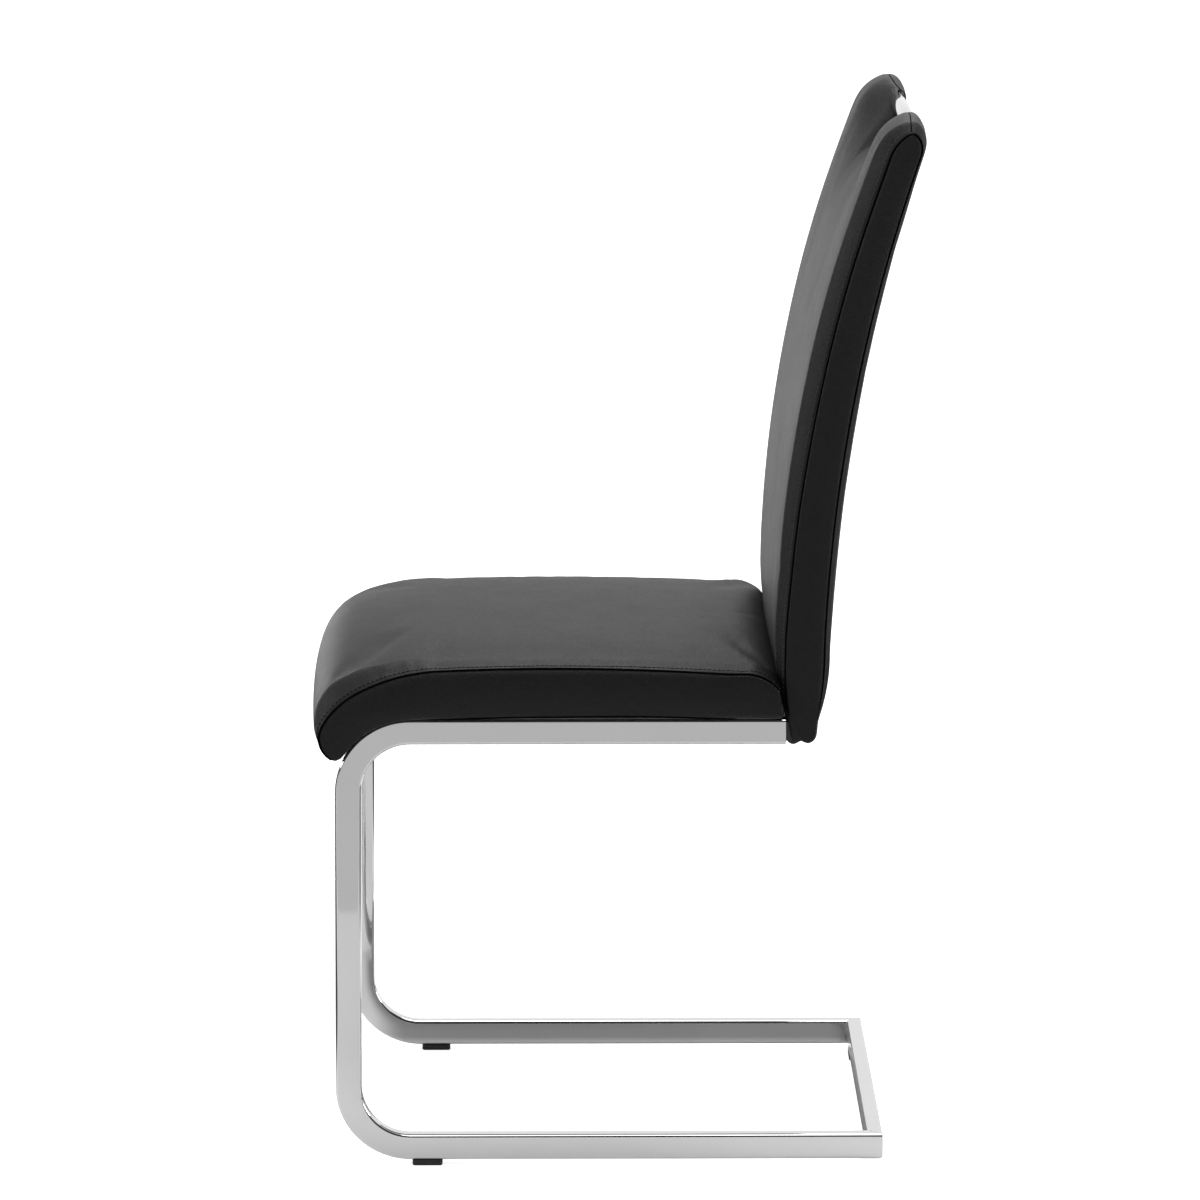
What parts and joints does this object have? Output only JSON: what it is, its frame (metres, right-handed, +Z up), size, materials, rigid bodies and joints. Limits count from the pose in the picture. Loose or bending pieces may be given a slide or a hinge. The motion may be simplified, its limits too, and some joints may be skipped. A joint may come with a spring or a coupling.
{
  "type": "cantilever dining chair",
  "caption": "Cantilever dining chair: bent flat-tube chromed frame with a closed floor loop, sprung padded seat and high curved padded back with a grab handle.",
  "frame": {"origin": "on the floor, under the middle of the chair's bounding box", "axes": "+Z up, -Y towards the front of the chair, +X towards the sitter's left of the middle plane, across the chair"},
  "size_m": [0.434, 0.5823, 1.014],
  "materials": {
    "chrome": "bright chrome plating",
    "leather": "soft-grained black imitation leather",
    "foam": "cut upholstery foam",
    "lining": "black non-woven sheet",
    "webbing": "woven elastic strap",
    "plywood": "raw moulded plywood",
    "painted_steel": "black powder coat",
    "fastener": "zinc-plated steel",
    "pad": "moulded black plastic"
  },
  "bodies": {
    "root": {"side_tube_right": "chrome", "side_tube_left": "chrome", "rear_floor_bar": "chrome", "grab_handle": "chrome", "front_glide_right": "pad", "front_glide_left": "pad", "rear_glide_right": "pad", "rear_glide_left": "pad", "seat_crossbar_front": "painted_steel", "seat_crossbar_rear": "painted_steel", "back_upright_right": "painted_steel", "back_upright_left": "painted_steel", "back_bottom_rail": "painted_steel", "back_top_rail": "painted_steel", "handle_bracket_right": "painted_steel", "handle_bracket_left": "painted_steel", "seat_board": "plywood", "seat_dust_cover": "lining", "seat_foam": "foam", "back_foam_front": "foam", "back_foam_rear": "foam", "back_webbing": "webbing", "seat_cover_top": "leather", "seat_cover_side_right": "leather", "seat_cover_side_left": "leather", "back_cover_front": "leather", "back_cover_rear": "leather", "back_cover_side_right": "leather", "back_cover_side_left": "leather", "seat_t_nuts": "fastener", "seat_bolts": "fastener", "tongue_screws": "fastener", "handle_screws": "fastener", "upright_end_caps": "pad"}
  },
  "joints": []
}
